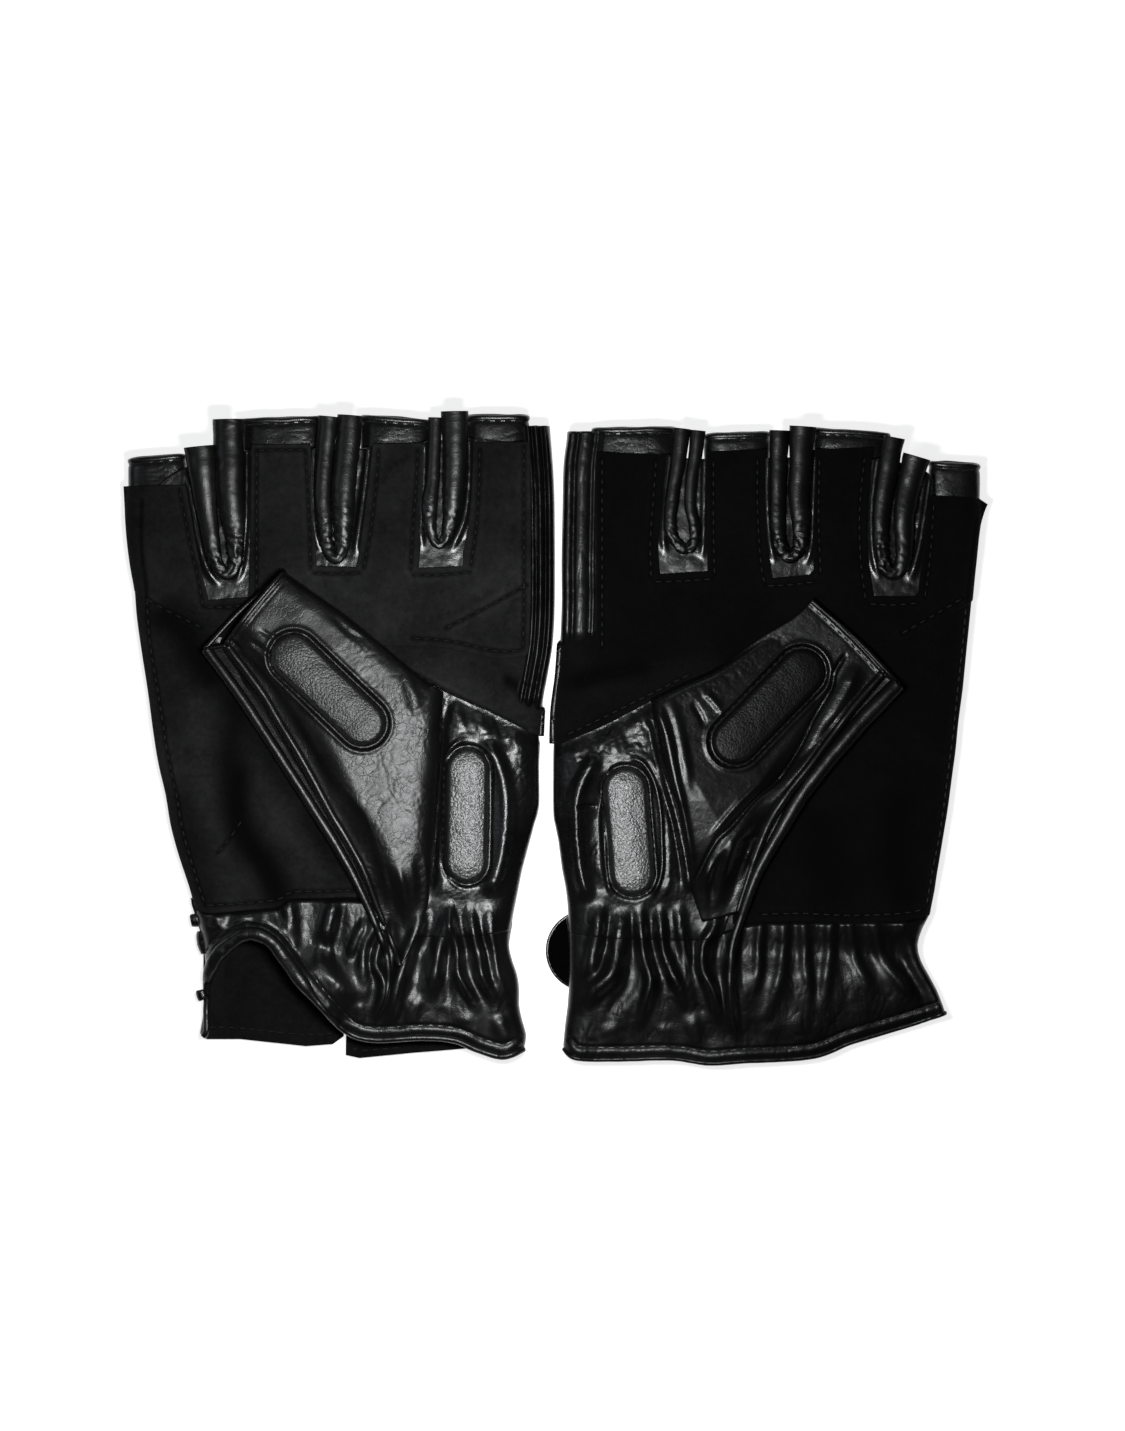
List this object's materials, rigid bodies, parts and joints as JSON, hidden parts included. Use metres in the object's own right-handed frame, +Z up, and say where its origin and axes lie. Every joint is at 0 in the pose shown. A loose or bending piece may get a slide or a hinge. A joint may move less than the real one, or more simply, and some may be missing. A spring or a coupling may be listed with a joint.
{
  "type": "fingerless riding gloves",
  "caption": "Pair of fingerless leather riding gloves with suede palms, padded thumb and heel, gathered elastic cuffs and hook-and-loop wrist straps, lying palm up.",
  "frame": {"origin": "centre of the underside of the pair's bounding box, on the surface the gloves lie on", "axes": "+Z up out of the palms, +Y towards the fingertips, +X from the right-hand glove towards the left-hand glove"},
  "size_m": [0.223, 0.1699, 0.0191],
  "materials": {
    "smooth_leather": "black finished leather, semi-gloss with fine creases",
    "suede": "black suede, matte short nap",
    "pad_leather": "black pebble-grain leather over the gel, satin",
    "gel": "soft gel pad, dull",
    "hook": "black hook tape, matte",
    "loop": "black loop tape, brushed",
    "elastic": "black woven elastic"
  },
  "bodies": {
    "right_hand": {"right_back_panel": "smooth_leather", "right_index_side_wall": "smooth_leather", "right_palm_panel": "suede", "right_palm_patch": "suede", "right_thenar_panel": "smooth_leather", "right_heel_gel_insert": "gel", "right_heel_pad_cover": "pad_leather", "right_cuff_palm_panel": "smooth_leather", "right_cuff_hem_binding": "smooth_leather", "right_cuff_elastic": "elastic", "right_cuff_back_outer": "smooth_leather", "right_cuff_back_inner": "smooth_leather", "right_strap_loop_patch": "loop"},
    "right_fingers": {"right_palm_fingers": "suede", "right_back_fingers": "smooth_leather", "right_little_hem": "smooth_leather", "right_ring_hem": "smooth_leather", "right_middle_hem": "smooth_leather", "right_index_hem": "smooth_leather", "right_fourchette_ring_little": "smooth_leather", "right_fourchette_middle_ring": "smooth_leather", "right_fourchette_index_middle": "smooth_leather"},
    "right_thumb": {"right_thumb_back_panel": "smooth_leather", "right_thumb_palm_panel": "smooth_leather", "right_thumb_welt": "smooth_leather", "right_thumb_hem": "smooth_leather", "right_thumb_gel_insert": "gel", "right_thumb_pad_cover": "pad_leather"},
    "right_strap": {"right_closure_strap": "smooth_leather", "right_strap_hook_pad": "hook"},
    "left_hand": {"left_back_panel": "smooth_leather", "left_index_side_wall": "smooth_leather", "left_palm_panel": "suede", "left_palm_patch": "suede", "left_thenar_panel": "smooth_leather", "left_heel_gel_insert": "gel", "left_heel_pad_cover": "pad_leather", "left_cuff_palm_panel": "smooth_leather", "left_cuff_hem_binding": "smooth_leather", "left_cuff_elastic": "elastic", "left_cuff_back_outer": "smooth_leather", "left_cuff_back_inner": "smooth_leather", "left_strap_loop_patch": "loop"},
    "left_fingers": {"left_palm_fingers": "suede", "left_back_fingers": "smooth_leather", "left_little_hem": "smooth_leather", "left_ring_hem": "smooth_leather", "left_middle_hem": "smooth_leather", "left_index_hem": "smooth_leather", "left_fourchette_ring_little": "smooth_leather", "left_fourchette_middle_ring": "smooth_leather", "left_fourchette_index_middle": "smooth_leather"},
    "left_thumb": {"left_thumb_back_panel": "smooth_leather", "left_thumb_palm_panel": "smooth_leather", "left_thumb_welt": "smooth_leather", "left_thumb_hem": "smooth_leather", "left_thumb_gel_insert": "gel", "left_thumb_pad_cover": "pad_leather"},
    "left_strap": {"left_closure_strap": "smooth_leather", "left_strap_hook_pad": "hook"}
  },
  "joints": [
    {"name": "right_finger_flex", "type": "hinge", "parent": "right_hand", "child": "right_fingers", "pos_m": [-0.0549, 0.0445, 0.0098], "axis": [1, 0, 0], "range_deg": [0, 50]},
    {"name": "right_thumb_lift", "type": "hinge", "parent": "right_hand", "child": "right_thumb", "pos_m": [-0.0267, 0.0121, 0.0102], "axis": [0.2209, 0.9753, 0], "range_deg": [0, 70]},
    {"name": "right_strap_open", "type": "hinge", "parent": "right_hand", "child": "right_strap", "pos_m": [-0.0915, -0.0553, 0.00125], "axis": [0, 1, 0], "range_deg": [0, 180]},
    {"name": "left_glove_lift", "type": "slide", "parent": "right_hand", "child": "left_hand", "axis": [0, 0, 1], "range_m": [0, 0.1]},
    {"name": "left_finger_flex", "type": "hinge", "parent": "left_hand", "child": "left_fingers", "pos_m": [0.0561, 0.0445, 0.0098], "axis": [1, 0, 0], "range_deg": [0, 50]},
    {"name": "left_thumb_lift", "type": "hinge", "parent": "left_hand", "child": "left_thumb", "pos_m": [0.0258, 0.01, 0.0102], "axis": [0.2934, -0.956, 0], "range_deg": [0, 70]},
    {"name": "left_strap_open", "type": "hinge", "parent": "left_hand", "child": "left_strap", "pos_m": [0.0953, -0.0553, 0.00125], "axis": [0, -1, 0], "range_deg": [0, 180]}
  ]
}
